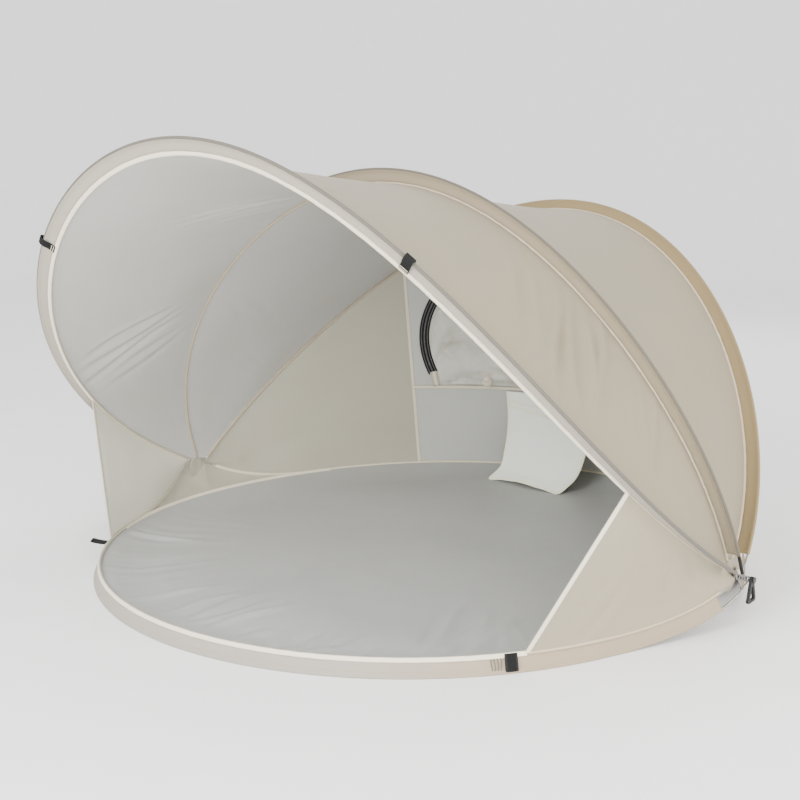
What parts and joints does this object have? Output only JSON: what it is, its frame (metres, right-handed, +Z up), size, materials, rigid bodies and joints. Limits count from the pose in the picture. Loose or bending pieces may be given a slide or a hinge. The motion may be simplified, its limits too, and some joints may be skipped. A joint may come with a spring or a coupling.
{
  "type": "pop up tent",
  "caption": "Open-fronted pop-up shell tent: sprung wire hoops fan out from a hub on each side, with fabric canopy, sewn-in floor and a zipped rear window.",
  "frame": {"origin": "middle of the footprint, on the ground", "axes": "+Z up, the open front faces -Y, the hub axis runs along X"},
  "size_m": [2.064, 2.045, 1.1965],
  "materials": {
    "wire": "bare spring wire",
    "canopy": "matt woven polyester with a silver-grey coated inner face",
    "sleeve": "matt woven polyester, sewn flat",
    "floor": "coated groundsheet, slight sheen",
    "binding": "folded cream binding tape",
    "flap": "thin translucent cloth",
    "webbing": "woven black webbing",
    "black_plastic": "moulded",
    "slider": "painted cast slider",
    "pin": "bare steel"
  },
  "bodies": {
    "ground_frame": {"floor_front_wire": "wire", "floor_front_sleeve": "sleeve", "floor_front_panel": "floor", "hub_pin_right": "pin", "hub_pin_left": "pin", "wing_right": "canopy", "wing_left": "canopy", "wing_tape_right": "binding", "wing_tape_left": "binding", "side_gusset_right": "canopy", "side_gusset_left": "canopy"},
    "front_arch": {"front_hoop_wire": "wire", "front_hoop_sleeve": "sleeve", "front_gore": "canopy", "guy_loop_right": "webbing", "guy_loop_left": "webbing"},
    "mid_arch": {"mid_hoop_wire": "wire", "mid_hoop_sleeve": "sleeve", "rear_gore": "canopy", "mid_hoop_end_tube_right": "black_plastic", "mid_hoop_end_tube_left": "black_plastic"},
    "rear_arch": {"rear_hoop_wire": "wire", "rear_hoop_sleeve": "sleeve", "rear_wall": "canopy", "wall_seam_tape_right": "binding", "wall_seam_tape_left": "binding"},
    "rear_floor_arch": {"floor_rear_wire": "wire", "floor_rear_sleeve": "sleeve", "floor_rear_panel": "floor"},
    "wall_middle": {"window_cover": "canopy", "window_zip": "black_plastic", "window_sill_tape": "binding", "window_toggle": "binding", "wall_flap": "flap", "zip_end_tab_right": "binding", "zip_end_tab_left": "binding"},
    "zip_slider": {"zip_slider": "slider"},
    "hub_loop_right": {"hub_loop_right": "black_plastic"},
    "hub_loop_left": {"hub_loop_left": "black_plastic"},
    "peg_loop_right": {"peg_loop_right": "webbing"},
    "peg_loop_left": {"peg_loop_left": "webbing"}
  },
  "joints": [
    {"name": "rear_floor_fold", "type": "hinge", "parent": "ground_frame", "child": "rear_floor_arch", "pos_m": [0, -0.042, 0.12], "axis": [1, 0, 0], "range_deg": [0, 150], "stiffness_Nm_per_rad": 2, "springref_deg": -11.46, "deforming": ["side_gusset_right", "side_gusset_left", "front_gore", "rear_gore", "rear_wall", "wing_right", "wing_left", "wing_tape_right", "wing_tape_left", "window_cover", "window_zip", "window_sill_tape", "wall_seam_tape_right", "wall_seam_tape_left", "wall_flap"]},
    {"name": "rear_fold", "type": "hinge", "parent": "ground_frame", "child": "rear_arch", "pos_m": [0, -0.042, 0.12], "axis": [1, 0, 0], "range_deg": [0, 102.1]},
    {"name": "mid_fold", "type": "hinge", "parent": "ground_frame", "child": "mid_arch", "pos_m": [0, -0.042, 0.12], "axis": [1, 0, 0], "range_deg": [0, 60.1]},
    {"name": "front_fold", "type": "hinge", "parent": "ground_frame", "child": "front_arch", "pos_m": [0, -0.042, 0.12], "axis": [1, 0, 0], "range_deg": [0, 37.6]},
    {"name": "wall_fold", "type": "hinge", "parent": "ground_frame", "child": "wall_middle", "pos_m": [0, -0.042, 0.12], "axis": [1, 0, 0], "range_deg": [0, 126.9]},
    {"name": "zip_slider_run", "type": "hinge", "parent": "wall_middle", "child": "zip_slider", "pos_m": [0.2759, 0.8288, 0.533], "axis": [-0.5769, -0.7833, -0.2313], "range_deg": [0, 56]},
    {"name": "hub_loop_right_swing", "type": "hinge", "parent": "ground_frame", "child": "hub_loop_right", "pos_m": [1.023, -0.042, 0.12], "axis": [1, 0, 0], "range_deg": [-60, 60]},
    {"name": "hub_loop_left_swing", "type": "hinge", "parent": "ground_frame", "child": "hub_loop_left", "pos_m": [-1.023, -0.042, 0.12], "axis": [1, 0, 0], "range_deg": [-60, 60]},
    {"name": "peg_loop_right_lift", "type": "hinge", "parent": "ground_frame", "child": "peg_loop_right", "pos_m": [0.7063, -0.658, 0.0411], "axis": [-0.6094, -0.7929, 0], "range_deg": [0, 120]},
    {"name": "peg_loop_left_lift", "type": "hinge", "parent": "ground_frame", "child": "peg_loop_left", "pos_m": [-0.7063, -0.658, 0.0411], "axis": [-0.6094, 0.7929, 0], "range_deg": [-75, 45]}
  ],
  "couplings": [
    {"joint": "rear_fold", "follows": "rear_floor_fold", "ratio": 0.68},
    {"joint": "mid_fold", "follows": "rear_floor_fold", "ratio": 0.4},
    {"joint": "front_fold", "follows": "rear_floor_fold", "ratio": 0.25},
    {"joint": "wall_fold", "follows": "rear_floor_fold", "ratio": 0.845}
  ]
}
